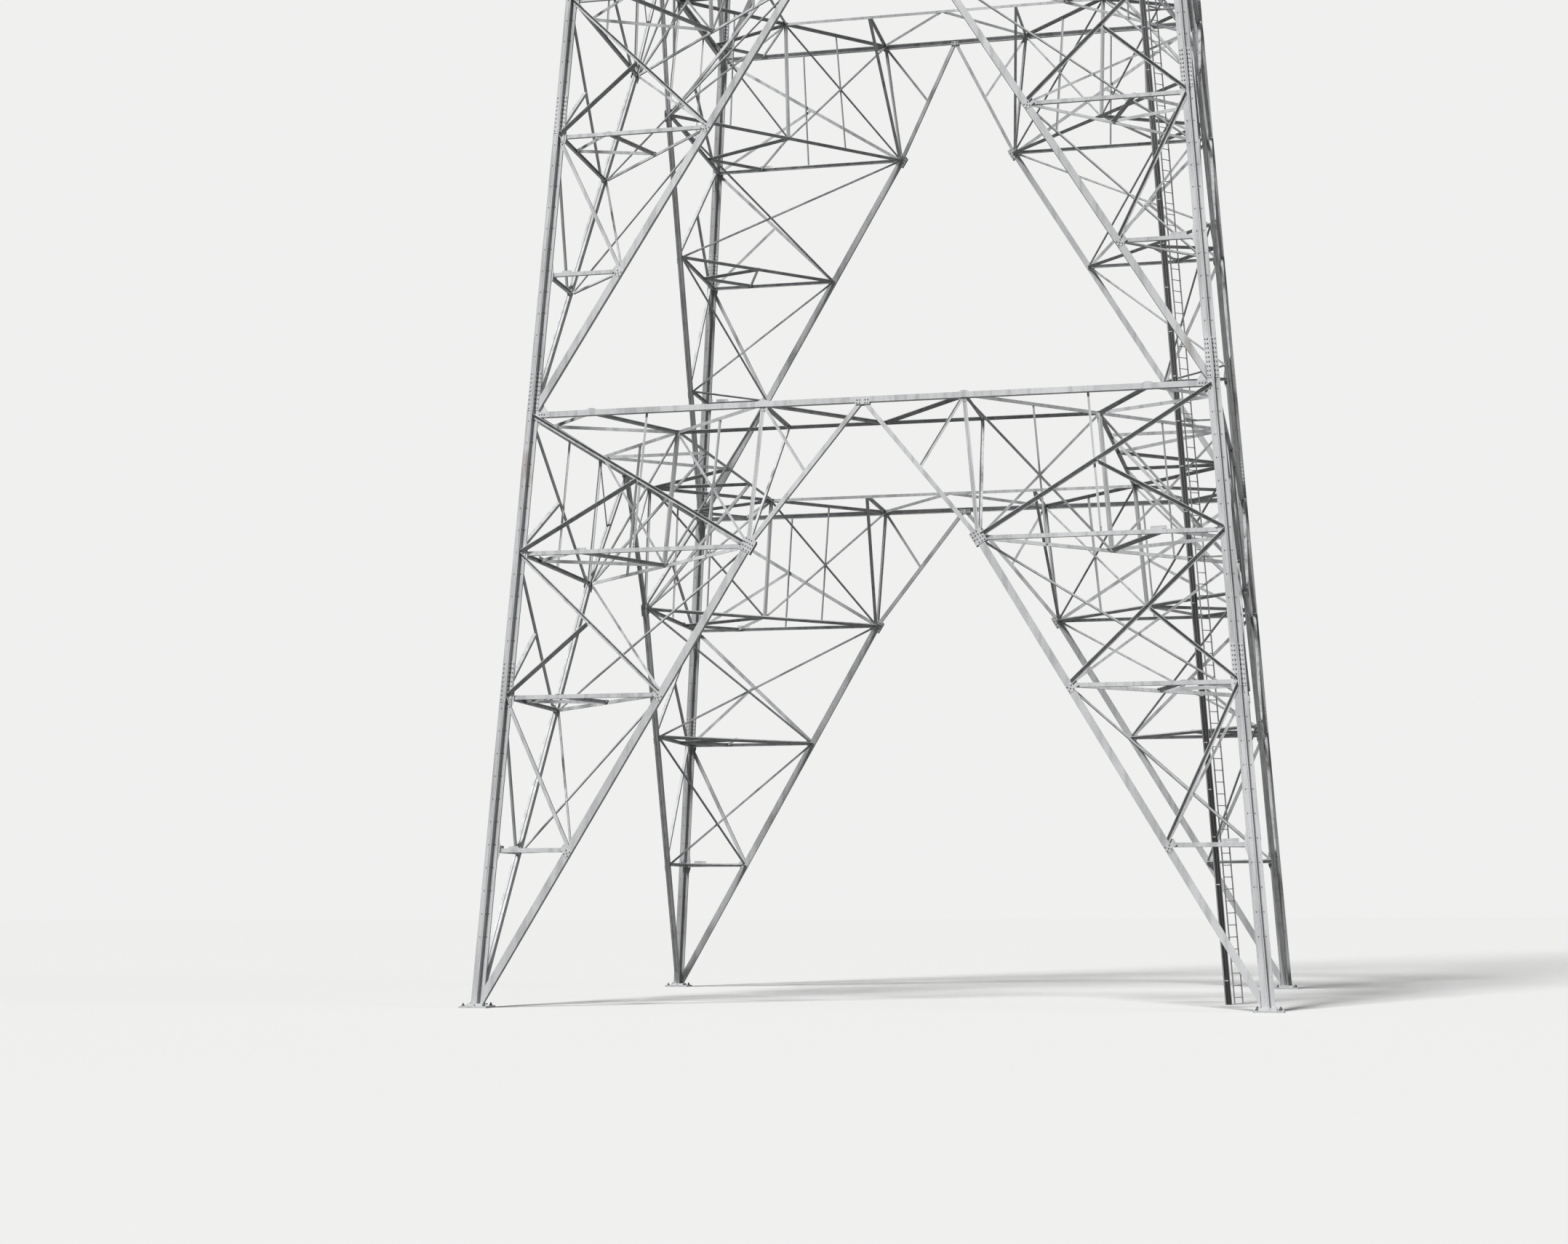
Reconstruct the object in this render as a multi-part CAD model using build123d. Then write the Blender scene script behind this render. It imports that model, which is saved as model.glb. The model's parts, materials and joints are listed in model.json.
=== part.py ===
from build123d import *
import math
import os

# Self-supporting lattice radio tower as a 1:10 scale model, in millimetres.
# It is drawn about the tower's centre line with the base plates on z = 0, one side and one
# corner at a time, turned four times, and moved at the end so that the origin lies under the
# middle of the front left base plate. -Y is the front.

# The whole tower
SUB_BAY = 381.0                      # one storey of bracing, 12 ft 6 in on the real tower
PANEL = 4 * SUB_BAY                  # one inverted V from girt to girt
PANELS = 8
HEIGHT = PANELS * PANEL
HALF_BASE = 975.0                    # from the centre line to a leg's axis at the ground
HALF_TOP = 190.0
TAPER = (HALF_BASE - HALF_TOP) / HEIGHT
SLOPE = math.hypot(1.0, TAPER)       # length along a side for each unit of height
FIRST_STOREYS = (0.258, 0.514, 0.760)    # where the storeys of the lowest panel lie, as shares
STOREYS = (0.250, 0.500, 0.752)          # and of every panel above it
FULL_PANELS = (1, 2)                 # the wide panels, with their hips and plan bracing
BRACED = {5: (2,), 6: (2,), 7: (2,), 8: (2,)}    # storeys with a horizontal; elsewhere all three

# Sections: widths as seen from outside, and depths through the side
LEG_FOOT, LEG_HEAD = 33.0, 23.0      # across the cross of four angles
LEG_FLANGE = 5.7                     # two angle legs back to back with their packing
V_LOWER, V_UPPER = 18.5, 11.0
GIRT, HORIZONTAL, DIAGONAL = 14.5, 10.0, 10.0
STRUT, POST = 8.0, 10.0
SIDE_DEPTH = 8.0
GIRT_DEPTH = 10.0
HIP_BAR, HIP_DEPTH = 8.5, 5.0
TIE = 11.0
PLAN_BAR, PLAN_DEPTH = 7.5, 5.0
KNEE_PLATE = (42.0, 48.0)
CLEAR = 0.05                         # between bolted faces that lean against each other

# Where the bracing lands
KNEE_SHARE = {1: 0.3255, 2: 0.2297}  # offset of the V from the centre at the third storey
NODE_SHARE = 0.295                   # girt node, as a share of the half width
HIGH_TIE_SHARE = 0.45                # where the corner ties of the plain panels' girts land
QUARTER = {2: 0.33, 3: 0.25}         # plan bracing, as a share from leg to V

# Foot, ladder and cable run
PLATE, PLATE_THICK = 72.0, 5.0
ANCHOR_HOLE, ANCHOR_PITCH = 4.4, 54.0
BLOCK, BLOCK_TALL = 40.0, 6.0        # bearing block between base plate and leg
LEG_START = PLATE_THICK + BLOCK_TALL
LADDER_INSET, CABLE_INSET = 88.0, 114.0
RUN_SHARE = 0.50                     # how far toward the front the run lies, as a share
LADDER_WIDTH, LADDER_DEPTH, RAIL, RUNG = 32.0, 3.0, 4.0, 2.4
SPACER_PITCH = 914.4                 # every thirtieth rung, the ones that space the rails
CABLE_TRAY = (17.0, 6.0, 1.6)
ARM_AT = 16.0                        # bracket arms pass this far behind the run's line
ARM, ARM_DEPTH, CROSSPIECE = 6.0, 4.0, 3.0
SEAT, SEAT_THICK, SEAT_HOLE, SEAT_PITCH = 100.0, 6.0, 4.4, 76.0
SEAT_BEAM = (12.0, 8.0)


def half(z):
    """Distance from the centre line to a side at height z."""
    return HALF_BASE - TAPER * z


def fin(z):
    """Half the width of a leg's cross at height z."""
    return (LEG_FOOT + (LEG_HEAD - LEG_FOOT) * z / HEIGHT) / 2


def storeys(panel):
    """Heights of a panel's foot, three storeys and girt."""
    foot = (panel - 1) * PANEL
    shares = FIRST_STOREYS if panel == 1 else STOREYS
    return [foot, *(foot + s * PANEL for s in shares), foot + PANEL]


def v_offsets(panel):
    """Offsets of the V from the side's middle at the foot and the three storeys."""
    z = storeys(panel)
    knee = KNEE_SHARE.get(panel, half(z[0]) * (1 - 0.752) / half(z[3])) * half(z[3])
    run = (half(z[0]) - knee) / (z[3] - z[0])
    return [half(z[0]) - run * (h - z[0]) for h in z[:4]]


def slim(panel):
    """Members get lighter up the tower."""
    return 1.0 - 0.055 * (panel - 1)


def stroke(p, q, width):
    """A flat bar from p to q, as a face to be fused with its neighbours and extruded."""
    length = math.dist(p, q)
    turn = math.degrees(math.atan2(q[1] - p[1], q[0] - p[0]))
    return Pos((p[0] + q[0]) / 2, (p[1] + q[1]) / 2) * Rot(0, 0, turn) * Rectangle(length, width)


def outline(points):
    return make_face(Polyline(*points, close=True))


def drawn(strokes, keep=None):
    """Fuses strokes in a plane and trims them to an outline."""
    drawing = strokes[0].fuse(*strokes[1:]) if len(strokes) > 1 else strokes[0]
    return drawing if keep is None else drawing & keep


def thick(plane, drawing, depth):
    return extrude(plane * drawing, amount=depth / 2, both=True)


def flat(plane, strokes, depth):
    return thick(plane, drawn(strokes), depth)


def between(p, q, width, depth, up=(0, 0, 1)):
    """A square-cut bar between two points in space."""
    axis = Vector(*q) - Vector(*p)
    plane = Plane(origin=p, x_dir=axis.cross(Vector(*up)), z_dir=axis)
    return extrude(plane * Rectangle(width, depth), amount=axis.length)


def turned(shape, times=4):
    return [Rot(0, 0, 90 * i) * shape for i in range(times)]


def seated(shape, *others):
    """Cuts a piece where it meets the ones it seats on, and drops the offcuts beyond them."""
    return max(shape.cut(*solids(*others)).solids(), key=lambda s: s.volume)


def solids(*shapes):
    """The separate solids of one or more shapes, as a flat list."""
    return [s for shape in shapes for s in shape.solids()]


FRONT = Plane(origin=(0, -HALF_BASE, 0), x_dir=(1, 0, 0), z_dir=(0, -1, TAPER))


def on_side(u, z):
    return (u, z * SLOPE)


# Legs: a cross of four angles, straight from the foot to the top
def leg():
    def cross(z):
        w, b = fin(z), LEG_FLANGE / 2
        x = y = -half(z)
        points = [(-w, -b), (-b, -b), (-b, -w), (b, -w), (b, -b), (w, -b),
                  (w, b), (b, b), (b, w), (-b, w), (-b, b), (-w, b)]
        return Pos(x, y, z) * outline(points)
    return loft([cross(LEG_START), cross(HEIGHT)], ruled=True)


def drilled(side, hole, pitch):
    """A square plate's outline with a hole near each corner."""
    holes = [Pos(i * pitch / 2, j * pitch / 2) * Circle(hole / 2) for i in (-1, 1) for j in (-1, 1)]
    return Rectangle(side, side) - holes


# Feet: a base plate with four anchor holes and the block the leg bears on
def foot():
    x = -half(0)
    lean = TAPER * LEG_START
    plate = Pos(x, x) * drilled(PLATE, ANCHOR_HOLE, ANCHOR_PITCH)
    block = Pos(x + lean, x + lean, PLATE_THICK) * Rectangle(BLOCK, BLOCK)
    return extrude(plate, amount=PLATE_THICK).fuse(extrude(block, amount=BLOCK_TALL))


# Sides: everything between the legs in one panel, left half; the right half mirrors it. In a
# panel with a knee, the frame above it is made apart and bolted to the knee plate.
def side_half(panel):
    z, v = storeys(panel), v_offsets(panel)
    k = slim(panel)
    w = [half(h) for h in z]
    node, mid_top = NODE_SHARE * w[4], (v[3] / 2, (z[3] + z[4]) / 2)
    kneed, full = panel in KNEE_SHARE, panel in FULL_PANELS
    below = [(w[0], z[0], v[3], z[3], V_LOWER) if kneed else (w[0], z[0], 0, z[4], V_LOWER)]
    above = [(v[3], z[3], 0, z[4], V_UPPER)] if kneed else below
    storeys_in = BRACED.get(panel, (1, 2, 3))
    for i in storeys_in:
        head, frame = i + 1 if len(storeys_in) > 1 else 4, above if i == 3 else below
        below.append((w[i], z[i], v[i], z[i], HORIZONTAL))
        frame.append((w[head], z[head], v[i], z[i], DIAGONAL))
        if i > 1 and full:
            mx, mz = (w[i + 1] + v[i]) / 2, (z[i + 1] + z[i]) / 2
            frame.append((mx, mz, w[i], z[i], STRUT))
    if panel not in BRACED:
        above.append((node, z[4], v[3], z[3], POST))
    if full:
        above.append((node, z[4], *mid_top, STRUT))
    low = girt_edges(panel - 1)[1] if panel > 1 else LEG_START + SIDE_DEPTH * TAPER
    high = girt_edges(panel)[0]
    keep = outline([on_side(-half(low) + fin(low) + CLEAR, low), on_side(0, low), on_side(0, high),
                    on_side(-half(high) + fin(high) + CLEAR, high)])
    keep -= apex_plate(panel)

    def strokes(bars):
        return [stroke(on_side(-a, b), on_side(-c, d), t * k) for a, b, c, d, t in bars]

    if not kneed:
        return thick(FRONT, drawn(strokes(below), keep), SIDE_DEPTH * k)
    lean = math.degrees(math.atan2(w[0] - v[3], (z[3] - z[0]) * SLOPE))
    knee = Pos(*on_side(-v[3], z[3])) * Rot(0, 0, -lean) * Rectangle(KNEE_PLATE[0] * k, KNEE_PLATE[1] * k)
    lower = drawn([*strokes(below), knee], keep)
    upper = drawn(strokes(above), keep) - lower
    return Compound(solids(*(thick(FRONT, part, SIDE_DEPTH * k) for part in (lower, upper))))


def band(top):
    """Everything on a side below a height, to trim a plate to a girt."""
    return Pos(0, top * SLOPE / 2) * Rectangle(4 * HALF_BASE, top * SLOPE)


def apex_plate(panel):
    """Outline of the plate under the middle of a girt, deep enough to part the V's two bars."""
    z, v, k = storeys(panel), v_offsets(panel), slim(panel)
    kneed = panel in KNEE_SHARE
    lean = v[3] / (z[4] - z[3]) if kneed else v[0] / PANEL
    reach = (V_UPPER if kneed else V_LOWER) * k / 2 * math.hypot(1, lean)
    deep = reach / lean + 12
    low, wide = z[4] - deep, deep * lean + reach + 3
    return outline([on_side(-wide - 4, z[4]), on_side(wide + 4, z[4]),
                    on_side(wide, low), on_side(-wide, low)])


def girt_edges(panel):
    """Heights of a girt's lower and upper edge; the top one hangs below the legs' ends."""
    tall, z = GIRT * slim(panel), panel * PANEL
    return (z - tall, z) if panel == PANELS else (z - tall / 2, z + tall / 2)


def girt(panel):
    low, high = girt_edges(panel)
    under, over = half(low) - fin(low) - CLEAR, half(high) - fin(high) - CLEAR
    bar = outline([on_side(-under, low), on_side(under, low),
                   on_side(over, high), on_side(-over, high)])
    return flat(FRONT, [bar, apex_plate(panel) & band(low)], GIRT_DEPTH * slim(panel))


# Hips: cross bracing that ties neighbouring sides together inside each corner
def hip_plane(panel, upper):
    z, v = storeys(panel), v_offsets(panel)
    low = -half(z[0]), z[0]
    knee = -(half(z[3]) + v[3]) / 2, z[3]
    head = -(1 + NODE_SHARE) * half(z[4]) / 2, z[4]
    a, b = (knee, head) if upper else (low, knee)
    start, end = Vector(a[0], a[0], a[1]), Vector(b[0], b[0], b[1])
    across, up = Vector(1, -1, 0), end - start
    return Plane(origin=start, x_dir=across, z_dir=across.cross(up)), up.length


def lower_hip(panel):
    z, v = storeys(panel), v_offsets(panel)
    plane, length = hip_plane(panel, upper=False)
    k = slim(panel)
    at = {i: ((half(z[i]) - v[i]) / math.sqrt(2), length * (z[i] - z[0]) / (z[3] - z[0]))
          for i in (1, 2, 3)}
    strokes = [stroke((-x, y), (x, y), (TIE if i > 1 else HIP_BAR) * k) for i, (x, y) in at.items()]
    for i in (1, 2):
        (x, y), (a, b) = at[i], at[i + 1]
        strokes += [stroke((-x, y), (a, b), HIP_BAR * k), stroke((x, y), (-a, b), HIP_BAR * k)]
    return flat(plane, strokes, HIP_DEPTH * k)


def upper_hip(panel):
    z, v = storeys(panel), v_offsets(panel)
    plane, length = hip_plane(panel, upper=True)
    k = slim(panel)
    x = (half(z[3]) - v[3]) / math.sqrt(2)
    a = (1 - NODE_SHARE) * half(z[4]) / math.sqrt(2)
    strokes = [stroke((0, 0), (0, length), HIP_BAR * k)]
    for s in (-1, 1):
        strokes += [stroke((s * x, 0), (0, length), HIP_BAR * k),
                    stroke((s * a, length), (0, 0), HIP_BAR * k)]
    return flat(plane, strokes, HIP_DEPTH * k)


# Plan bracing, flat triangles inside each corner
def corner_plan(panel, i):
    z, v = storeys(panel)[i], v_offsets(panel)[i]
    w, k, q = half(z), slim(panel), QUARTER[i]
    m = -(w + v) / 2
    p = -(w - q * (w - v))
    strokes = [stroke((p, -w), (-w, p), PLAN_BAR * k), stroke((p, -w), (m, m), PLAN_BAR * k),
               stroke((-w, p), (m, m), PLAN_BAR * k)]
    return flat(Plane.XY.offset(z), strokes, PLAN_DEPTH * k)


def girt_corner(panel):
    z = panel * PANEL
    w, k = half(z), slim(panel)
    n = (NODE_SHARE if panel in FULL_PANELS else HIGH_TIE_SHARE) * w
    strokes = [stroke((-n, -w), (-w, -n), TIE * k)]
    if panel in FULL_PANELS:
        m, p = -(w + n) / 2, -(w - 0.26 * (w - n))
        strokes += [stroke((p, -w), (-w, p), PLAN_BAR * k), stroke((p, -w), (m, m), PLAN_BAR * k),
                    stroke((-w, p), (m, m), PLAN_BAR * k)]
    return flat(Plane.XY.offset(z), strokes, PLAN_DEPTH * k)


def storey_tie(panel):
    """The one tie across a corner of a plain panel, at its second storey."""
    z, v = storeys(panel)[2], v_offsets(panel)[2]
    return flat(Plane.XY.offset(z), [stroke((-v, -half(z)), (-half(z), -v), TIE * slim(panel))],
                PLAN_DEPTH * slim(panel))


def girt_inner(panel):
    """The inner line along one side, with its struts out to the girt nodes."""
    z = panel * PANEL
    w, k = half(z), slim(panel)
    n = NODE_SHARE * w
    m = (w + n) / 2
    strokes = [stroke((-m, -m), (m, -m), PLAN_BAR * k)]
    for s in (-1, 1):
        strokes += [stroke((s * n, -w), (s * n, -m), PLAN_BAR * k),
                    stroke((s * n, -w), (0, -m), PLAN_BAR * k)]
    gap = 0.4
    keep = outline([(-w - 9 + gap, -w - 9), (w + 9 - gap, -w - 9), (gap, -2 * gap), (-gap, -2 * gap)])
    return thick(Plane.XY.offset(z), drawn(strokes, keep), PLAN_DEPTH * k)


def inner_brace(panel):
    """From the knee of the V up to the inner line, left half of one side."""
    z, v = storeys(panel), v_offsets(panel)
    w4 = half(z[4])
    n = NODE_SHARE * w4
    return between((-v[3], -half(z[3]), z[3]), (-n, -(w4 + n) / 2, z[4]), POST * slim(panel),
                   PLAN_DEPTH * slim(panel), up=(0, 1, 0))


# Ladder and cable run: straight lines up the inside of the right-hand side
def run_point(inset, z, back=0.0):
    return Vector(half(z) - inset, back - RUN_SHARE * half(z), z)


def ladder():
    start, end = run_point(LADDER_INSET, RAIL), run_point(LADDER_INSET, HEIGHT - RAIL)
    up = (end - start).normalized()
    out = Vector(1, 1, 0).cross(up)
    plane = Plane(origin=start, x_dir=up.cross(out), z_dir=out)
    length, reach = (end - start).length, (LADDER_WIDTH - RAIL) / 2
    strokes = [Pos(s * reach, length / 2) * Rectangle(RAIL, length) for s in (-1, 1)]
    strokes += [Pos(0, SPACER_PITCH * (i + 0.5)) * Rectangle(2 * reach, RUNG)
                for i in range(int(length // SPACER_PITCH))]
    return flat(plane, strokes, LADDER_DEPTH)


def cable_tray():
    width, deep, sheet = CABLE_TRAY
    w = width / 2
    section = outline([(-w, 0), (w, 0), (w, deep), (w - sheet, deep), (w - sheet, sheet),
                       (sheet - w, sheet), (sheet - w, deep), (-w, deep)])
    ends = [Pos(*run_point(CABLE_INSET, z, ARM_AT - deep)) * section for z in (0, HEIGHT)]
    return loft(ends, ruled=True)


def run_bracket(z):
    """An arm from the side to the tray, with a crosspiece behind the ladder's rails."""
    run = run_point(LADDER_INSET, z)
    y = run.Y + ARM_AT + ARM / 2
    reach, behind = LADDER_WIDTH / 2, (LADDER_DEPTH + CROSSPIECE) / math.sqrt(8)
    corner = (run.X + behind, run.Y - behind)
    step = reach / math.sqrt(2)
    back = y - corner[1]
    return flat(Plane.XY.offset(z),
                [stroke((half(z), y), (half(z) - CABLE_INSET - CABLE_TRAY[0] / 2, y), ARM),
                 stroke((corner[0] - step, corner[1] - step), (corner[0] + back, y), CROSSPIECE)],
                ARM_DEPTH)


# Aerial seat: two beams between the top girts and a square plate for the aerial's foot
def aerial_seat():
    deep, tall = SEAT_BEAM
    z = HEIGHT - SEAT_THICK
    beams = [Rot(0, 0, a) * Rectangle(2 * half(HEIGHT), deep) for a in (0, 90)]
    plate = Pos(0, 0, z) * drilled(SEAT, SEAT_HOLE, SEAT_PITCH)
    return extrude(plate, amount=SEAT_THICK).fuse(
        extrude(Pos(0, 0, z) * (beams[0] + beams[1]), amount=-tall))


# One side and one corner, each piece cut where it seats on the ones before it
front_left_leg = leg()
parts = {"base_plates": turned(foot())}
for name, shape in zip(("front_left", "front_right", "back_right", "back_left"),
                       turned(front_left_leg)):
    parts[f"{name}_leg"] = [shape]

SIDES = ("front", "right", "back", "left")


def add(name, shapes):
    parts.setdefault(name, []).extend(solids(*shapes))


sides, girts = {}, {}
for p in range(1, PANELS + 1):
    left_half = side_half(p)
    right_half = left_half.mirror(Plane.YZ)
    sides[p], girts[p] = (left_half, right_half), girt(p)
    for i, side in enumerate(SIDES):
        add(f"{side}_bracing_panel_{p}" if p < 4 else f"{side}_bracing_upper",
            [Rot(0, 0, 90 * i) * half_side for half_side in sides[p]])
    add(f"girts_panel_{p}" if p < 4 else "girts_upper", turned(girts[p]))

ties = {}
for p in range(1, PANELS + 1):
    ring = [girts[p], Rot(0, 0, -90) * girts[p]]
    corner = [sides[p][0], Rot(0, 0, -90) * sides[p][1]]
    tie = ties[p] = seated(girt_corner(p), *ring)
    if p not in FULL_PANELS:
        if p < PANELS:
            add("corner_ties_upper", turned(tie))
        add("corner_ties_upper", turned(seated(storey_tie(p), *corner)))
        continue
    low_hip = seated(lower_hip(p), *corner)
    high_hip = seated(upper_hip(p), *corner, *ring, low_hip, tie)
    inner = seated(girt_inner(p), girts[p], tie, Rot(0, 0, 90) * tie)
    brace = seated(inner_brace(p), sides[p][0], inner, low_hip, high_hip)
    add(f"lower_hips_panel_{p}", turned(low_hip))
    add(f"upper_hips_panel_{p}", turned(high_hip))
    for i in QUARTER:
        add(f"corner_plans_panel_{p}", turned(seated(corner_plan(p, i), *corner, low_hip, high_hip)))
    add(f"girt_corners_panel_{p}", turned(tie))
    add(f"girt_inner_frame_{p}", turned(inner))
    add(f"inner_braces_panel_{p}", turned(brace) + turned(brace.mirror(Plane.YZ)))

climb, tray = ladder(), cable_tray()
parts["access_ladder"], parts["cable_tray"] = [climb], [tray]
for p in range(1, PANELS + 1):
    right_side = [Rot(0, 0, 90) * shape for shape in (girts[p], sides[p][0], ties[p])]
    top = girt_edges(p)[0] + ARM_DEPTH / 2 if p == PANELS else p * PANEL
    for z in (storeys(p)[3], top) if p in FULL_PANELS else (top,):
        add("run_brackets", [seated(run_bracket(z), *right_side, climb, tray)])
parts["aerial_seat"] = [seated(aerial_seat(), *turned(girts[PANELS]))]

# Move to the front left foot and save
os.makedirs("parts", exist_ok=True)
to_foot = Pos(HALF_BASE, HALF_BASE, 0)
for name, shapes in parts.items():
    export_step(to_foot * Compound(solids(*shapes)), f"parts/{name}.step")
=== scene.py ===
import bpy
import json
import math
from mathutils import Matrix, Vector

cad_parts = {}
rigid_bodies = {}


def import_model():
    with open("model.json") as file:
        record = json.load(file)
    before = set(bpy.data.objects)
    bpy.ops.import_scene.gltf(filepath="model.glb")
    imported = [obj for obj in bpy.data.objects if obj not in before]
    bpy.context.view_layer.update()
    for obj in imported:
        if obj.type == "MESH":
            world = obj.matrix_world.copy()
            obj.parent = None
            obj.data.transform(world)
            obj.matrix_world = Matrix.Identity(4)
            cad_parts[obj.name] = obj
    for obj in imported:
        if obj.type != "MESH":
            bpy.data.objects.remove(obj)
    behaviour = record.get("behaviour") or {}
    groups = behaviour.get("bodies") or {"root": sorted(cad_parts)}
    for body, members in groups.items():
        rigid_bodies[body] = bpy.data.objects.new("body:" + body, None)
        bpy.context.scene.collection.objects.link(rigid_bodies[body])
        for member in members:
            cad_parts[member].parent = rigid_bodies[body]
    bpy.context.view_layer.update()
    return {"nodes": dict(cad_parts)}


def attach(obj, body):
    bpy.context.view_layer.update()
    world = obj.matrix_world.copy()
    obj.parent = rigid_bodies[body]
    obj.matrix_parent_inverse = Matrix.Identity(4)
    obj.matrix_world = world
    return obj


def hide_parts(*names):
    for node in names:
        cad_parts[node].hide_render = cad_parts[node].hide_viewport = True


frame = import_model()

# The tower's lines, in metres at 1:10, about its centre line; -Y is the front
MM = 0.001
SUB_BAY = 381 * MM
PANEL = 4 * SUB_BAY
PANELS = 8
HEIGHT = PANELS * PANEL
HALF_BASE, HALF_TOP = 975 * MM, 190 * MM
TAPER = (HALF_BASE - HALF_TOP) / HEIGHT
FIRST_STOREYS, STOREYS = (0.258, 0.514, 0.760), (0.250, 0.500, 0.752)
KNEE_SHARE = {1: 0.3255, 2: 0.2297}    # offset of the knee at the third storey, in the wide panels
LIGHT_PANELS = (5, 6, 7, 8)            # with fewer diagonals
SLIMMER = 0.055                        # how much slimmer the bars get from panel to panel
CENTRE = Vector((HALF_BASE, HALF_BASE, 0))
UP, DOWN = Vector((0, 0, 1)), Vector((0, 0, -1))
SIDES = ("front", "right", "back", "left")
CORNERS = ("front_left", "front_right", "back_right", "back_left")

# Where the bracing inside the corners lands, as shares
NODE_SHARE, HIGH_TIE_SHARE = 0.295, 0.45    # on a girt, of the half width
QUARTER = {2: 0.33, 3: 0.25}                # on a storey's bar, from leg to V
GIRT_QUARTER, SEAT_QUARTER = 0.26, 0.27     # on the girt, and for the seat plates of the storeys

# Legs
LEG_FOOT, LEG_HEAD = 33 * MM, 23 * MM       # across the cross of four angles
LEG_START = 11 * MM
PACK, LEG_THICK = 0.25 * MM, 2.6 * MM       # half the gap between the angles, and their thickness
SPLICE_TALL, SPLICE_FIRST = 104 * MM, (14 * MM, 10 * MM)    # first edge above a girt, above a storey
SPLICE_INSET, SPLICE_EDGE, SPLICE_NARROWS = 0.5 * MM, 1.2 * MM, 0.7 * MM
SPLICE_ROWS, ROW_FIRST, ROW_PITCH, COLUMNS = 9, 6 * MM, 11.5 * MM, (0.28, 0.76)
SPLICE_BOLT, STITCH_BOLT, STITCH_TALL = 1.5 * MM, 1.4 * MM, 1.1 * MM
STITCH, STITCH_ENDS, STITCH_FREE = 58 * MM, 60 * MM, 120 * MM
GAP = 0.6 * MM                 # half a gusset, between two angles back to back
SEAT = 2.9 * MM                # outer face of a leg's flange, that bars are bolted on
LAPPED_END = 5.6 * MM          # where the lapped bars stop, from the leg's axis
FIT = 0.3 * MM                 # clearance where bars meet

# Bars: widths as seen from outside, then depths and lips through the side, then thicknesses
V_LOWER, V_UPPER, GIRT, HORIZONTAL, DIAGONAL = 18.5 * MM, 11 * MM, 14.5 * MM, 10.5 * MM, 10.5 * MM
STRUT, LONG_STRUT, POST, HANGER = 8 * MM, 8.96 * MM, 10.5 * MM, 6 * MM
TIE, HIP_BAR, PLAN_BAR, BRACE = 11 * MM, 6.8 * MM, 9 * MM, 8.4 * MM
V_DEEP, V_UPPER_DEEP, HORIZONTAL_DEEP, POST_DEEP, HANGER_DEEP = 14 * MM, 12 * MM, 8 * MM, 8 * MM, 5 * MM
DIAGONAL_LIP, STRUT_LIP, LONG_STRUT_LIP = 8.5 * MM, 3.4 * MM, 10 * MM
HIP_LIP, HIP_DEEP, PLAN_LIP = 9 * MM, 4.5 * MM, 9 * MM
V_WALL, BAR_THICK, CORNER_THICK, HANGER_THICK = 1.5 * MM, 1.3 * MM, 1.2 * MM, 1.0 * MM
SLOT_SHARE = 0.05              # half the open slot of a box bar, as a share of its depth
PAIR_SLOT = 0.2 * MM           # half the slot between two angles of a pair
INNER_GAP = 0.2 * MM           # between the V's inner face and the bars inside
PLAN_SET_BACK = 9 * MM         # from a storey's bars to the plan bracing
TOP_DROP = 0.2 * MM            # keeps the top girt just under the solids' top

# Plates and bolts; outlines and spots are in millimetres across and along a bar at the lowest panel
PLATE_THICK, THIN_PLATE = 1.2 * MM, 0.8 * MM
BOLT, HANGER_BOLT, POST_BOLT, BOLT_TALL = 1.8 * MM, 1.3 * MM, 1.1 * MM, 1.2 * MM
V_PLATE = ((-9.2, -10), (9.2, -10), (9.2, 11), (-9.2, 11))
V_PLATE_BOLTS = ((-5.5, -5), (5.5, -5), (0, 0), (-5.5, 6), (5.5, 6))
V_PLATE_DROP = 11 * MM
V_GUSSET = ((0, -4), (13, -2), (13, 14), (0, 22))
KNEE_PLATE = ((-16.5, -19), (15.51, -19), (16.5, 15.58), (11.55, 19), (-14.19, 19), (-16.5, 13.3))
KNEE_BOLTS = [(x, y) for x in (-11.5, -4, 4, 11.5) for y in (-14.5, -5, 5, 14)
              if (x, y) not in ((-11.5, 14), (11.5, -14.5))]
GIRT_SEAT = ((-15, 0), (-6, 4.5), (6, 4.5), (15, 0))
STOREY_SEATS = {1: ((-21, 0), (-19, 8.5), (20, 9.35), (21, 0)), -1: ((-14, 0), (-12, 5), (13, 5.5), (14, 0))}
APEX_BOLTS = [(x, y) for x in (-0.74, -0.38, 0.38, 0.74) for y in (0.24, 0.78)]    # as shares
PLAN_PLATE, GIRT_PLAN_PLATE = 6.5 * MM, 7.5 * MM

# Ladder, cable tray and feet
LADDER_INSET, CABLE_INSET, RUN_SHARE = 88 * MM, 114 * MM, 0.50
LADDER_WIDTH, RAIL, RAIL_WIDE, RAIL_DEEP = 32 * MM, 4 * MM, 2.2 * MM, 3 * MM
RUNG_PITCH, RUNG = 30.48 * MM, 1.15 * MM
TRAY_HALF, TRAY_DEEP, TRAY_SHEET, TRAY_LIP, TRAY_BACK = 8.5 * MM, 6 * MM, 1.2 * MM, 3 * MM, 16 * MM
FEEDERS = ((-3.2, 1.8), (1.3, 2.3), (5.3, 1.2))    # place and radius of each line, in millimetres
CLAMP_FIRST, CLAMP_LAST, CLAMP_PITCH = 60 * MM, 30 * MM, 121.9 * MM
CLAMP_HALF, CLAMP_WALL, CLAMPED = 1.6 * MM, 0.35, 2    # only the first two lines are clamped
BASE_TOP, ANCHOR_OUT, WASHER, WASHER_THICK = 5 * MM, 27 * MM, 4.6 * MM, 0.8 * MM
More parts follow.
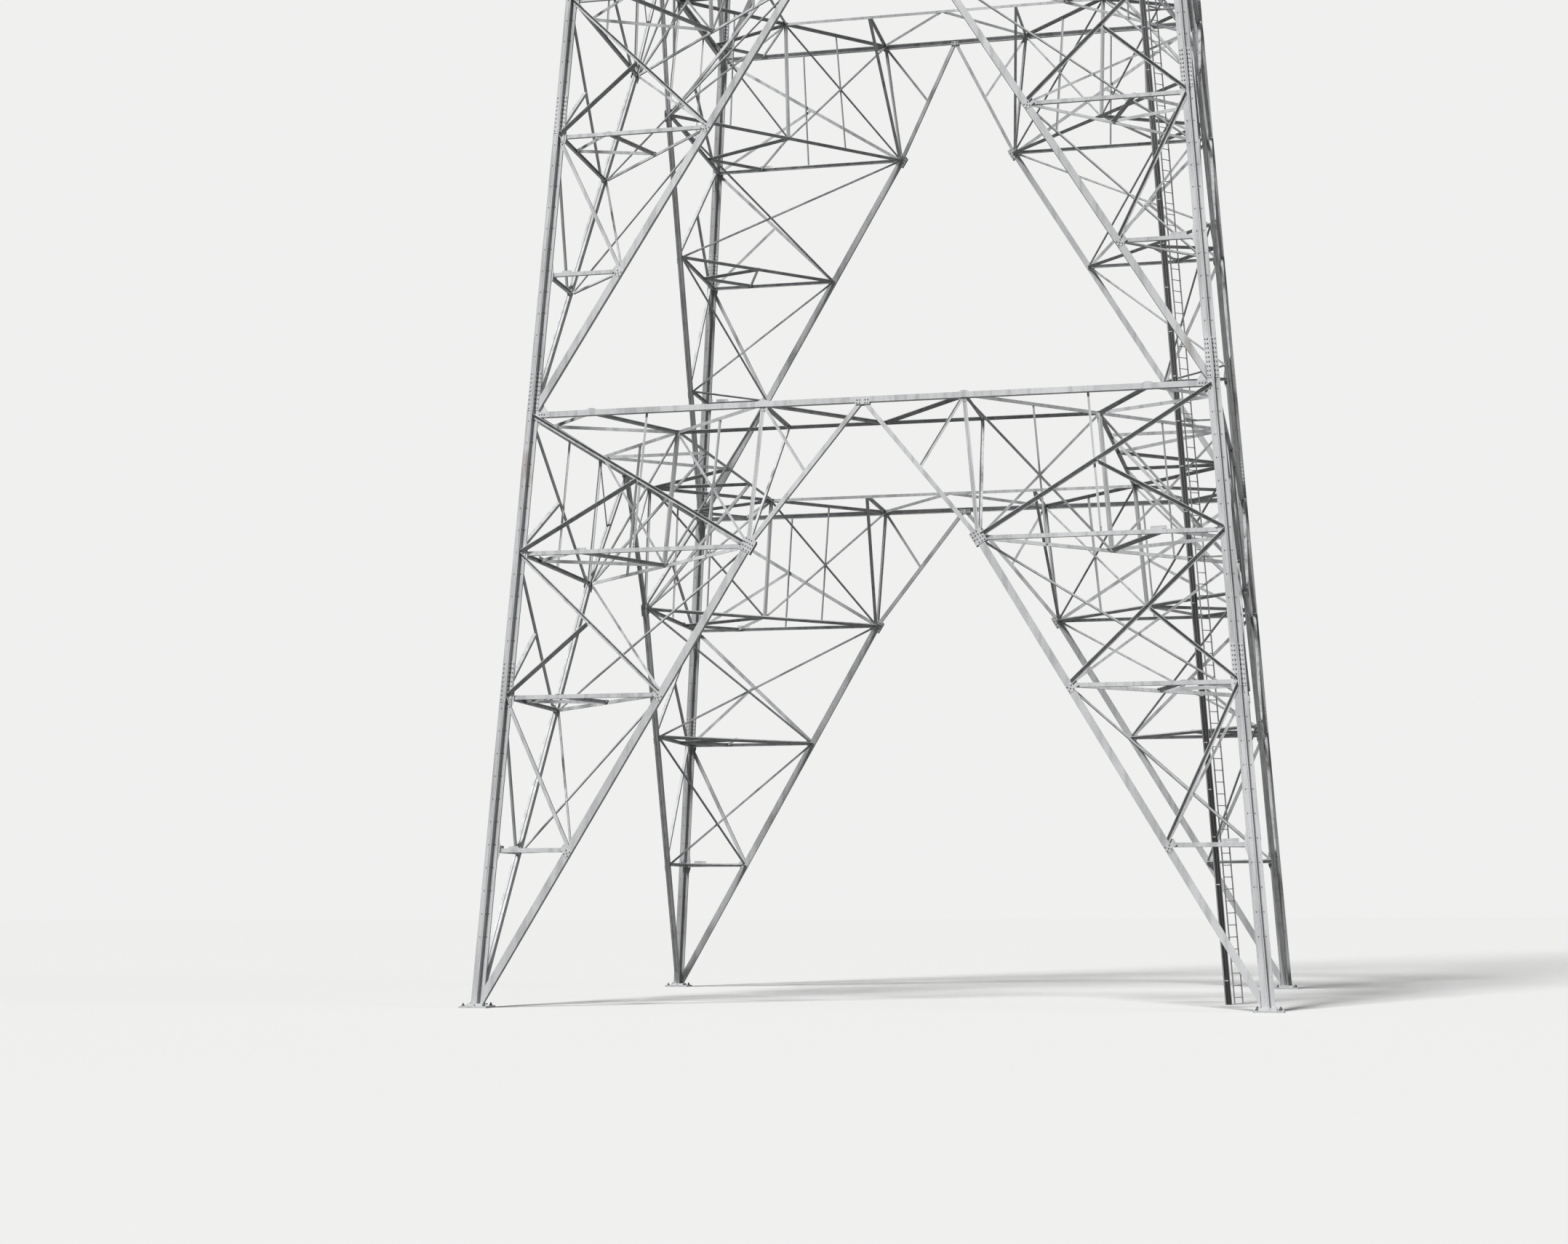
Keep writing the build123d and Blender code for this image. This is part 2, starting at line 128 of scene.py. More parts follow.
NUT, NUT_TALL, STUD, STUD_TOP = 3.8 * MM, 3.2 * MM, 2.1 * MM, 12.5 * MM
STIFFENER_IN, STIFFENER_OUT, STIFFENER_TOP = 20 * MM, 33 * MM, 10.8 * MM


def half(z):
    """Distance from the centre line to a side at height z."""
    return HALF_BASE - TAPER * z


def fin(z):
    """Half the width of a leg's cross at height z."""
    return (LEG_FOOT + (LEG_HEAD - LEG_FOOT) * z / HEIGHT) / 2


def storeys(panel):
    """Heights of a panel's foot, three storeys and girt."""
    foot = (panel - 1) * PANEL
    shares = FIRST_STOREYS if panel == 1 else STOREYS
    return [foot, *(foot + s * PANEL for s in shares), foot + PANEL]


def v_offsets(panel):
    """Offsets of the V from the side's middle at the foot and the three storeys."""
    z = storeys(panel)
    knee = KNEE_SHARE.get(panel, half(z[0]) * (1 - STOREYS[2]) / half(z[3])) * half(z[3])
    run = (half(z[0]) - knee) / (z[3] - z[0])
    return [half(z[0]) - run * (h - z[0]) for h in z[:4]]


def slim(panel):
    return 1.0 - SLIMMER * (panel - 1)


def quarter_turn(index):
    return Matrix.Rotation(math.pi / 2 * index, 3, "Z")


class Steel:
    """Collects the vertices and faces of one piece."""

    def __init__(self):
        self.v, self.f, self.smooth = [], [], []

    def loft(self, a, b, smooth=False):
        """Closes the space between two loops of as many points."""
        n, k = len(a), len(self.v)
        self.v += [*a, *b]
        for i in range(n):
            j = (i + 1) % n
            self.f.append((k + i, k + j, k + n + j, k + n + i))
            self.smooth.append(smooth)
        self.f += [tuple(k + i for i in reversed(range(n))), tuple(k + n + i for i in range(n))]
        self.smooth += [False, False]

    def box_bar(self, p, q, s, t, rect, cuts=(None, None)):
        """A rectangular bar: rect is (s0, s1, t0, t1); a cut is a plane (point, normal) for an end."""
        a = (q - p).normalized()
        s0, s1, t0, t1 = rect
        loops = []
        for end, cut in ((p, cuts[0]), (q, cuts[1])):
            loop = [end + s * x + t * y for x, y in ((s0, t0), (s1, t0), (s1, t1), (s0, t1))]
            if s.cross(t).dot(a) < 0:
                loop.reverse()
            if cut is not None:
                point, normal = cut
                loop = [x - a * ((x - point).dot(normal) / a.dot(normal)) for x in loop]
            loops.append(loop)
        self.loft(*loops)

    def prism(self, p, q, axis, r, sides, turn=0.0, smooth=False):
        """A bar or a bolt head from p to q, square to its axis, with a regular outline."""
        x = axis.orthogonal().normalized()
        y = axis.cross(x)
        angles = [turn + 2 * math.pi * i / sides for i in range(sides)]
        ring = [(x * math.cos(angle) + y * math.sin(angle)) * r for angle in angles]
        self.loft([p + o for o in ring], [q + o for o in ring], smooth)

    def head(self, c, n, r, tall, sides=6, turn=0.0):
        self.prism(c, c + n * tall, n, r, sides, turn)

    def rod(self, p, q, r, sides):
        self.prism(p, q, (q - p).normalized(), r, sides, smooth=True)

    def plate(self, outline, n, t0, t1):
        """A flat plate from its outline, between two offsets along its normal."""
        normal = Vector((0, 0, 0))
        for i, p in enumerate(outline):
            normal += p.cross(outline[(i + 1) % len(outline)])
        pts = outline if normal.dot(n) > 0 else outline[::-1]
        self.loft([p + n * t0 for p in pts], [p + n * t1 for p in pts])

    def build(self, name, material, replaces=(), slot="structural_steel"):
        mesh = bpy.data.meshes.new(name)
        mesh.from_pydata([tuple(v + CENTRE) for v in self.v], [], self.f)
        mesh.polygons.foreach_set("use_smooth", self.smooth)
        mesh.validate()
        mesh.materials.append(material)
        obj = bpy.data.objects.new(name, mesh)
        bpy.context.scene.collection.objects.link(obj)
        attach(obj, "root")
        if replaces:
            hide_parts(*replaces)


def bar(g, p, q, t, rects, up=UP, cuts=(None, None)):
    """A bar made of rectangles (s0, s1, t0, t1), with s across it, towards up."""
    a = (q - p).normalized()
    t = (t - a * t.dot(a)).normalized()
    s = t.cross(a)
    if s.dot(up) < 0:
        s = -s
    for rect in rects:
        g.box_bar(p, q, s, t, rect, cuts)


def angle_bar(g, p, q, t, w, d, th, up=UP, seat=0.0, cuts=(None, None)):
    """An angle with its flat leg just behind the plane through p and q, which seat moves along t.

    The other leg stands on the edge towards up and reaches along t."""
    bar(g, p, q, t, [(-w / 2, w / 2, seat - th, seat), (w / 2 - th, w / 2, seat, seat - th + d)], up, cuts)


def box_bar(g, p, q, t, w, d, th, cuts=(None, None)):
    """Two channels toe to toe, with an open slot between them."""
    seam = d * SLOT_SHARE
    rects = []
    for side in (1, -1):
        for s0, s1, t0, t1 in ((-w / 2, w / 2, d / 2 - th, d / 2), (w / 2 - th, w / 2, seam, d / 2 - th),
                               (-w / 2, th - w / 2, seam, d / 2 - th)):
            rects.append((s0, s1, *sorted((t0 * side, t1 * side))))
    bar(g, p, q, t, rects, cuts=cuts)


def channel(g, p, q, n, w, d, th, face, cuts=(None, None)):
    """A channel with its web outermost, at face, and its flanges turned inwards."""
    bar(g, p, q, n, [(-w / 2, w / 2, face - th, face), (w / 2 - th, w / 2, face - d, face - th),
                     (-w / 2, th - w / 2, face - d, face - th)], cuts=cuts)


def pair_bar(g, p, q, n, w, d, th, face, up, cuts=(None, None)):
    """Two angles back to back with a slot between them, flat legs outermost."""
    rects = []
    for side in (1, -1):
        for s0, s1, t0, t1 in ((PAIR_SLOT, w / 2, face - th, face),
                               (PAIR_SLOT, PAIR_SLOT + th, face - d, face - th)):
            rects.append((*sorted((s0 * side, s1 * side)), t0, t1))
    bar(g, p, q, n, rects, up, cuts)


def bolts(g, points, n, r=BOLT):
    for i, p in enumerate(points):
        g.head(p, n, r, BOLT_TALL, turn=0.7 * i)


def placed(c, across, along, spots, k=1.0):
    """Spots in millimetres across and along a bar, set about the point c."""
    return [c + (across * x + along * y) * (MM * k) for x, y in spots]


# Materials: scales of the patterns, for each metre
CRYSTALS, PATCHES, STREAKS, RUST, ROUGH, GRAIN, JACKET = 420, 4.5, 60, 17, 26, 260, 40
RUST_TONE = (0.20, 0.165, 0.135)


def noise(nt, scale, detail, stretch):
    coord = nt.nodes.new("ShaderNodeTexCoord")
    mapping = nt.nodes.new("ShaderNodeMapping")
    mapping.inputs["Scale"].default_value = stretch
    tex = nt.nodes.new("ShaderNodeTexNoise")
    tex.inputs["Scale"].default_value = scale
    tex.inputs["Detail"].default_value = detail
    nt.links.new(coord.outputs["Object"], mapping.inputs["Vector"])
    nt.links.new(mapping.outputs["Vector"], tex.inputs["Vector"])
    return tex.outputs["Fac"]


def ramp(nt, source, stops):
    node = nt.nodes.new("ShaderNodeValToRGB")
    els = node.color_ramp.elements
    while len(els) < len(stops):
        els.new(0.5)
    for el, (at, value) in zip(els, stops):
        el.position = at
        el.color = (*value, 1) if isinstance(value, tuple) else (value, value, value, 1)
    nt.links.new(source, node.inputs["Fac"])
    return node.outputs["Color"]


def mix(nt, kind, fac, a, b):
    node = nt.nodes.new("ShaderNodeMix")
    node.data_type = "RGBA"
    node.blend_type = kind
    for socket, value in ((node.inputs["Factor"], fac), (node.inputs[6], a), (node.inputs[7], b)):
        if isinstance(value, bpy.types.NodeSocket):
            nt.links.new(value, socket)
        else:
            socket.default_value = value if isinstance(value, float) else (*value, 1)
    return node.outputs[2]


def galvanised(name, base, metallic, roughness, spangle=1.0, stain=1.0):
    """Weathered hot-dip zinc: crystals, dull patches, rain streaks and a little rust."""
    m = bpy.data.materials.new(name)
    m.use_nodes = True
    nt = m.node_tree
    bsdf = nt.nodes["Principled BSDF"]
    cells = nt.nodes.new("ShaderNodeTexVoronoi")
    cells.inputs["Scale"].default_value = CRYSTALS
    coord = nt.nodes.new("ShaderNodeTexCoord")
    nt.links.new(coord.outputs["Object"], cells.inputs["Vector"])
    grain = nt.nodes.new("ShaderNodeRGBToBW")
    nt.links.new(cells.outputs["Color"], grain.inputs["Color"])
    crystals = ramp(nt, grain.outputs["Val"], [(0.2, 1 - 0.06 * spangle), (0.8, 1 + 0.04 * spangle)])
    patches = ramp(nt, noise(nt, PATCHES, 5, (1, 1, 0.55)), [(0.34, 0.84), (0.52, 1.0), (0.68, 1.07)])
    streaks = ramp(nt, noise(nt, STREAKS, 4, (1, 1, 0.035)),
                   [(0.36, 1 - 0.20 * stain), (0.50, 1.0), (0.66, 1.04)])
    rust = ramp(nt, noise(nt, RUST, 6, (1, 1, 0.30)), [(0.66, 0.0), (0.76, 0.55 * stain)])
    colour = mix(nt, "MULTIPLY", 1.0, tuple(base), crystals)
    colour = mix(nt, "MULTIPLY", 1.0, colour, patches)
    colour = mix(nt, "MULTIPLY", 1.0, colour, streaks)
    colour = mix(nt, "MIX", rust, colour, RUST_TONE)
    nt.links.new(colour, bsdf.inputs["Base Color"])
    rough = ramp(nt, noise(nt, ROUGH, 4, (1, 1, 0.4)), [(0.3, roughness - 0.09), (0.7, roughness + 0.12)])
    nt.links.new(rough, bsdf.inputs["Roughness"])
    bsdf.inputs["Metallic"].default_value = metallic
    bsdf.inputs["Specular IOR Level"].default_value = 0.2
    bump = nt.nodes.new("ShaderNodeBump")
    bump.inputs["Strength"].default_value = 0.25
    bump.inputs["Distance"].default_value = 0.3 * MM
    nt.links.new(noise(nt, GRAIN, 3, (1, 1, 1)), bump.inputs["Height"])
    nt.links.new(bump.outputs["Normal"], bsdf.inputs["Normal"])
    return m


def cable_jacket():
    m = bpy.data.materials.new("cable_jacket")
    m.use_nodes = True
    nt = m.node_tree
    bsdf = nt.nodes["Principled BSDF"]
    shade = ramp(nt, noise(nt, JACKET, 4, (1, 1, 0.2)),
                 [(0.3, (0.34, 0.34, 0.344)), (0.7, (0.46, 0.46, 0.465))])
    nt.links.new(shade, bsdf.inputs["Base Color"])
    bsdf.inputs["Roughness"].default_value = 0.45
    return m


steel = galvanised("galvanised_steel", (0.53, 0.54, 0.545), 0.10, 0.62)
plate_steel = galvanised("galvanised_plate", (0.55, 0.56, 0.565), 0.12, 0.60, 1.2, 0.8)
bolt_steel = galvanised("bolt_steel", (0.16, 0.16, 0.16), 0.2, 0.60, 0.4, 1.2)
run_steel = galvanised("ladder_steel", (0.30, 0.305, 0.31), 0.15, 0.60, 0.8, 1.2)
# the two back legs take a darker copy of the galvanised steel: its darker grey is painted shade
back_leg_shaded_steel = galvanised("back_leg_painted_shade_steel", (0.42, 0.425, 0.43), 0.10, 0.66, 0.8, 1.3)
jacket = cable_jacket()


class Side:
    """Points and planes of one side, turned round the tower."""

    def __init__(self, index):
        self.turn = quarter_turn(index)
        self.n = self.turn @ Vector((0, -1, TAPER)).normalized()

    def at(self, u, z):
        return self.turn @ Vector((u, -half(z), z))

    def edge(self, sign, z, lapped=False):
        """The plane of a leg's flange edge, that bars stop at, or of the end of those lapped on it."""
        def inner(h):
            return self.at(sign * (half(h) - (LAPPED_END if lapped else fin(h) + FIT)), h)

        along = (inner(z + 1) - inner(z)).normalized()
        return inner(z), along.cross(self.n).normalized()

    def line(self, p, q, offset):
        """The plane along a bar's edge, offset to the left or right of it."""
        across = self.n.cross((q - p).normalized()).normalized()
        return p + across * offset, across

    def level(self, z):
        return self.at(0, z), UP


# Legs: four angles back to back, spliced every second storey and stitched with bolts between
def leg_pieces(index, name):
    turn = quarter_turn(index)
    g, b, pl = Steel(), Steel(), Steel()
    x, y = turn @ Vector((1, 0, 0)), turn @ Vector((0, 1, 0))
    face = PACK + LEG_THICK

    def axis(z):
        return turn @ Vector((-half(z), -half(z), z))

    def angle(z, sx, sy):
        w = fin(z)
        section = ((PACK, PACK), (w, PACK), (w, face), (face, face), (face, w), (PACK, w))
        pts = [axis(z) + x * (sx * u) + y * (sy * v) for u, v in section]
        return pts if sx * sy > 0 else pts[::-1]

    for sx in (-1, 1):
        for sy in (-1, 1):
            g.loft(angle(LEG_START, sx, sy), angle(HEIGHT, sx, sy))
    # the eight faces of the cross: the way out along a flange, and the face's normal
    faces = [(a * s, n * f) for a, n in ((x, y), (y, x)) for s in (-1, 1) for f in (-1, 1)]
    for k in range(1, 2 * PANELS):
        low = 2 * k * SUB_BAY + SPLICE_FIRST[k % 2]
        high = low + SPLICE_TALL
        near, far = face + SPLICE_INSET, fin(low) - SPLICE_EDGE
        for out, n in faces:
            pl.plate([axis(low) + out * near, axis(low) + out * far,
                      axis(high) + out * (far - SPLICE_NARROWS), axis(high) + out * near],
                     n, face, face + PLATE_THICK)
            for row in range(SPLICE_ROWS):
                z = low + ROW_FIRST + row * ROW_PITCH
                for c in COLUMNS:
                    b.head(axis(z) + out * (near + (far - near) * c) + n * (face + PLATE_THICK), n,
                           SPLICE_BOLT, BOLT_TALL, turn=row * 0.9 + c)
    z = STITCH_ENDS
    while z < HEIGHT - STITCH_ENDS:
        if (z - SPLICE_FIRST[1]) % (2 * SUB_BAY) > STITCH_FREE:
            for out, n in faces:
                b.head(axis(z) + out * (fin(z) * 0.55) + n * face, n, STITCH_BOLT, STITCH_TALL, turn=z * 9)
        z += STITCH
    # the back legs take the darker steel, whose grey is painted shade
    g.build(f"{name}_leg_angles", back_leg_shaded_steel if "back" in name else steel, [f"{name}_leg"])
    pl.build(f"{name}_leg_splices", plate_steel)
    b.build(f"{name}_leg_bolts", bolt_steel)


# One panel of one side: g takes the bars, pl the plates and b the bolts
def side_pieces(index, panel, g, pl, b):
    side = Side(index)
    z, v, k = storeys(panel), v_offsets(panel), slim(panel)
    w = [half(h) for h in z]
    n = side.n
    across = side.turn @ Vector((1, 0, 0))
    full, light = panel in KNEE_SHARE, panel in LIGHT_PANELS
    th = BAR_THICK * k
    girt_low = z[4] - (GIRT * k if panel == PANELS else GIRT * k / 2)
    under = side.level(girt_low)
    face, vw = V_DEEP * k / 2, V_LOWER * k
    outside = SEAT + th
    node = NODE_SHARE * w[4]
    for m in (-1, 1):
        def P(u, h):
            return side.at(m * u, h)

        leg_cut = side.edge(m, (z[0] + z[4]) / 2)
        lap_cut = side.edge(m, (z[0] + z[4]) / 2, lapped=True)
        foot, knee, apex = P(w[0], z[0]), P(v[3], z[3]), P(0, z[4])
        v_top = knee if full else apex
        run = (v_top - foot).normalized()
        side_way = n.cross(run)
        outward = 1 if side_way.dot(P(w[2], z[2]) - P(v[2], z[2])) > 0 else -1
        v_out = side.line(foot, v_top, outward * (vw / 2 + FIT))
        # the V: two channels toe to toe, with a narrow slot open along each edge
        box_bar(g, foot, v_top, n, vw, V_DEEP * k, V_WALL * k, cuts=(leg_cut, None if full else under))
        if full:
            box_bar(g, knee, apex, n, V_UPPER * k, V_UPPER_DEEP * k, th, cuts=(None, under))
        for i in (1, 2, 3):
            leg_at, v_at = P(w[i], z[i]), P(v[i], z[i])
            channel(g, leg_at, v_at, n, HORIZONTAL * k, HORIZONTAL_DEEP * k, th, -SEAT,
                    cuts=(lap_cut, v_out))
            if not (light and i == 3):
                head = 4 if light and i == 2 else i + 1
                head_at = P(w[head], z[head])
                angle_bar(g, head_at, v_at, n, DIAGONAL * k, DIAGONAL_LIP * k, th, seat=outside,
                          cuts=(lap_cut, v_out))
                lean = (v_at - head_at).normalized()
                start = head_at + lean * (fin(z[head]) - 8 * MM) / abs(lean.dot(across))
                bolts(b, [start + lean * (d * MM) + n * outside for d in (0, 8)], n)
            # plate in the leg's slot, hardly wider than its flange
            reach, above, below = fin(z[i]), z[i] + 30 * MM, z[i] - 26 * MM
            outline = [P(half(above) - reach * 0.3, above)]
            for d, h in ((1, above), (5, z[i] + 12 * MM), (5, z[i] - 12 * MM), (1, below)):
                outline.append(P(half(h) - reach - d * MM * k, h))
            pl.plate([*outline, P(half(below) - reach * 0.3, below)], n, -GAP, GAP)
            if not (full and i == 3):
                # small plate on the V's face, and one out of its slot for the storey's bars
                c = v_at - run * (V_PLATE_DROP * k)
                pl.plate(placed(c, side_way, run, V_PLATE, k), n, face, face + THIN_PLATE)
                bolts(b, placed(c + n * (face + THIN_PLATE), side_way, run, V_PLATE_BOLTS, k), n)
                toward = side_way * outward
                pl.plate([c + toward * (vw / 2 + x * MM * k) + run * (y * MM) for x, y in V_GUSSET],
                         n, -GAP, GAP)
            if full and i > 1:
                mid = P((w[i + 1] + v[i]) / 2, (z[i + 1] + z[i]) / 2)
                lean = (leg_at - mid).normalized()
                angle_bar(g, mid + lean * 5 * MM, leg_at, n, LONG_STRUT * k, LONG_STRUT_LIP * k, th,
                          seat=outside, cuts=(None, lap_cut))
                bolts(b, [mid + n * outside], n)
        # plate at the girt's end, in the slots of leg and girt
        top, reach = z[4], fin(z[4])
        if panel < PANELS:
            pl.plate([P(half(top + 40 * MM) - reach * 0.3, top + 40 * MM),
                      P(half(top + 40 * MM) - reach - 2 * MM * k, top + 40 * MM),
                      P(half(top) - reach - 24 * MM * k, top + 12 * MM),
                      P(half(top) - reach - 16 * MM * k, top - 7 * MM),
                      P(half(top - 30 * MM) - reach - 3 * MM * k, top - 30 * MM),
                      P(half(top - 40 * MM) - reach * 0.3, top - 40 * MM)], n, -GAP, GAP)
        drop = 5 * MM if panel == PANELS else 0
        bolts(b, [P(half(top) - reach - d * MM * k, top - drop) + n * face for d in (4, 11, 18)], n)
        if not light:
            # post from the girt to the knee
            start = P(node, top)
            lean = (knee - start).normalized()
            pair_bar(g, start, knee, n, POST * k, POST_DEEP * k, th, outside, across,
                     cuts=(under, None if full else side.line(foot, v_top, outward * vw / 2)))
            pl.plate([P(node - 15 * MM * k, girt_low + 2 * MM), P(node + 12 * MM * k, girt_low + 2 * MM),
                      P(node + 6 * MM * k, girt_low - 7 * MM * k),
                      P(node - 6 * MM * k, girt_low - 7 * MM * k)], n, -GAP, GAP)
            bolts(b, [start + lean * (GIRT / 2 + d * MM) + n * outside + across * x * MM
                      for d in (4, 10) for x in (-2.6, 2.6)], n, r=POST_BOLT)
        if full:
            mid_top = P(v[3] / 2, (z[3] + z[4]) / 2)
            inner_edge = side.line(knee, apex, outward * (V_UPPER * k / 2 + FIT))
            angle_bar(g, P(node, top), mid_top, n, STRUT * k, STRUT_LIP * k, th, seat=outside,
                      cuts=(under, inner_edge))
            hung, hung_end = P((node + w[4]) / 2, top), P((w[3] + v[3]) / 2, z[3])
            pair_bar(g, hung, hung_end, n, HANGER * k, HANGER_DEEP * k, HANGER_THICK, -SEAT, across,
                     cuts=(under, side.level(z[3] + HORIZONTAL * k / 2)))
            bolts(b, [hung_end + UP * (d * MM) - n * SEAT for d in (9, 16)], n, r=HANGER_BOLT)
            # knee plates, one on each face, with their bolts
            for nn in (n, -n):
                pl.plate(placed(knee, side_way, run, KNEE_PLATE, k), nn, face, face + PLATE_THICK)
                bolts(b, placed(knee + nn * (face + PLATE_THICK), side_way, run, KNEE_BOLTS, k), nn)
    # girt: a channel with its web outermost
    zc = (girt_low + (z[4] - TOP_DROP if panel == PANELS else z[4] + GIRT * k / 2)) / 2
    channel(g, side.at(-half(zc), zc), side.at(half(zc), zc), n, GIRT * k, V_DEEP * k - 1 * MM, V_WALL * k,
            face, cuts=(side.edge(-1, zc), side.edge(1, zc)))
    # apex plates, over the girt's face and the ends of the V
    slant = v[3] / (z[4] - z[3]) if full else v[0] / PANEL
    reach = (V_UPPER if full else V_LOWER) * k / 2 * math.hypot(1, slant)
    low, high = girt_low - 6 * MM * k, zc + GIRT * k * 0.12
    wide = (z[4] - low) * slant + reach + 1 * MM
    for nn in (n, -n):
        pl.plate([side.at(-wide * 0.9, high), side.at(wide * 0.9, high), side.at(wide, girt_low),
                  side.at(wide * 0.97, low), side.at(-wide * 0.97, low), side.at(-wide, girt_low)],
                 nn, face, face + PLATE_THICK)
        bolts(b, [side.at(x * wide, low + y * (high - low)) + nn * (face + PLATE_THICK)
                  for x, y in APEX_BOLTS], nn)
    if full:
        # seat plates of the plan bracing, on the girt's top and on the storeys' horizontals
        for m in (-1, 1):
            for u in (node, w[4] - GIRT_QUARTER * (w[4] - node)):
                pl.plate(placed(side.at(m * u, zc + GIRT * k / 2), across, UP, GIRT_SEAT),
                         n, face - 3 * MM, face - 1.6 * MM)
            for i in (1, 3):
                c = side.at(m * (w[i] - SEAT_QUARTER * (w[i] - v[i])), z[i] + HORIZONTAL * k / 2)
                pl.plate(placed(c, across, UP, STOREY_SEATS[m]), n, -SEAT - 3 * MM, -SEAT - 1.4 * MM)


def girder_groups():
    for i, name in enumerate(SIDES):
        upper = Steel(), Steel(), Steel()
        for p in range(1, PANELS + 1):
            group = (Steel(), Steel(), Steel()) if p < 4 else upper
            side_pieces(i, p, *group)
            if p < 4:
                group[0].build(f"{name}_side_bars_{p}", steel, [f"{name}_bracing_panel_{p}"])
                group[1].build(f"{name}_side_plates_{p}", plate_steel)
                group[2].build(f"{name}_side_bolts_{p}", bolt_steel)
        upper[0].build(f"{name}_side_bars_upper", steel, [f"{name}_bracing_upper"])
        upper[1].build(f"{name}_side_plates_upper", plate_steel)
        upper[2].build(f"{name}_side_bolts_upper", bolt_steel)


# Inside the corners: hips and plan bracing of the two wide panels
def corner_steel(index, panel, hips, plans, b):
    turn = quarter_turn(index)
    z, v, k = storeys(panel), v_offsets(panel), slim(panel)
    w = [half(h) for h in z]
    inn = V_DEEP * k / 2 + INNER_GAP
    th, deep, hang = CORNER_THICK * k, HIP_DEEP * k, PLAN_LIP * k

    def T(x, y, h):
        return turn @ Vector((x, y, h))

    def S(i):
        """A point on the V of the front side, at its inner face."""
        return T(-v[i], -w[i] + inn, z[i])

    def W(i):
        """The same on the V of the left side."""
        return T(-w[i] + inn, -v[i], z[i])

    def level_bar(p, q, wide, up):
        """A bar of the plan bracing: flat leg on top, the other one hanging."""
        angle_bar(plans, p, q, DOWN, wide * k, hang, th, up=up, seat=-hang / 2)

    def plan_plate(c, r):
        plans.head(c + UP * (hang / 2 + th), UP, r * k, PLATE_THICK, sides=8)

    inward = T(1, 1, 0).normalized()
    M = {i: T(-(w[i] + v[i]) / 2, -(w[i] + v[i]) / 2, z[i]) for i in (1, 2, 3)}
    normal = (S(2) - W(2)).cross(M[3] - T(-w[0], -w[0], z[0])).normalized()
    normal = normal if normal.dot(inward) > 0 else -normal
    for i in (1, 2, 3):
        angle_bar(hips, S(i), W(i), normal, (TIE if i > 1 else HIP_BAR) * k, HIP_LIP * k, th)
    for i in (1, 2):
        pair_bar(hips, W(i), S(i + 1), -normal, HIP_BAR * k, deep, th, th, UP)
        pair_bar(hips, S(i), W(i + 1), -normal, HIP_BAR * k, deep, th, -INNER_GAP, UP)
        low, high = (S(i) - W(i)).length, (S(i + 1) - W(i + 1)).length
        bolts(b, [W(i).lerp(S(i + 1), low / (low + high)) - normal * th], -normal)
    # from the knees' level up to the girt: a post, and pairs of angles that cross beside it
    n4 = NODE_SHARE * w[4]
    m4 = (w[4] + n4) / 2
    NS, NW, mg = T(-n4, -w[4] + inn, z[4]), T(-w[4] + inn, -n4, z[4]), T(-m4, -m4, z[4])
    up_n = (NS - NW).cross(mg - M[3]).normalized()
    up_n = up_n if up_n.dot(inward) > 0 else -up_n
    side_ways = (NS - NW).normalized()
    bar(hips, M[3], mg, up_n, [(-deep, deep, -deep, deep)], side_ways)
    for a, c in ((S(3), NS), (W(3), NW)):
        pair_bar(hips, a, mg, -up_n, HIP_BAR * k, deep, th, th, UP)
        pair_bar(hips, c, M[3], -up_n, HIP_BAR * k, deep, th, -INNER_GAP, UP)
        # hanger from the tie above, through the crossing, to the tie below
        angle_bar(hips, (c + mg) / 2, (a + M[3]) / 2, up_n, HANGER * k, HANGER_DEEP, HANGER_THICK,
                  up=side_ways)
    # plan triangles at the storeys
    for i, q in QUARTER.items():
        p = w[i] - q * (w[i] - v[i])
        PS, PW = T(-p, -w[i] + PLAN_SET_BACK, z[i]), T(-w[i] + PLAN_SET_BACK, -p, z[i])
        for a, c in ((PS, PW), (PS, M[i]), (PW, M[i])):
            level_bar(a, c, PLAN_BAR, -inward)
        for c in (PS, PW, M[i]):
            plan_plate(c, PLAN_PLATE)
    # plan bracing at the girt
    level_bar(NS, NW, TIE, -inward)
    p = w[4] - GIRT_QUARTER * (w[4] - n4)
    PS, PW = T(-p, -w[4] + inn, z[4]), T(-w[4] + inn, -p, z[4])
    for a, c in ((PS, PW), (PS, mg), (PW, mg)):
        level_bar(a, c, PLAN_BAR, -inward)
    for c in (PS, PW, mg, NS, NW):
        plan_plate(c, GIRT_PLAN_PLATE)
    # inner line of the front side with its struts and braces
    y = T(0, 1, 0)
    for s in (-1, 1):
        J = T(s * n4, -m4, z[4])
        start = T(s * n4, -w[4] + inn, z[4])
        level_bar(start, J, PLAN_BAR, T(s, 0, 0))
        level_bar(start, T(0, -m4, z[4]), PLAN_BAR, y)
        angle_bar(hips, T(s * v[3], -w[3] + inn, z[3]), J, T(s, 0, 0), BRACE * k, HIP_LIP * k, th, up=y)
    level_bar(T(-m4, -m4, z[4]), T(m4, -m4, z[4]), PLAN_BAR, y)


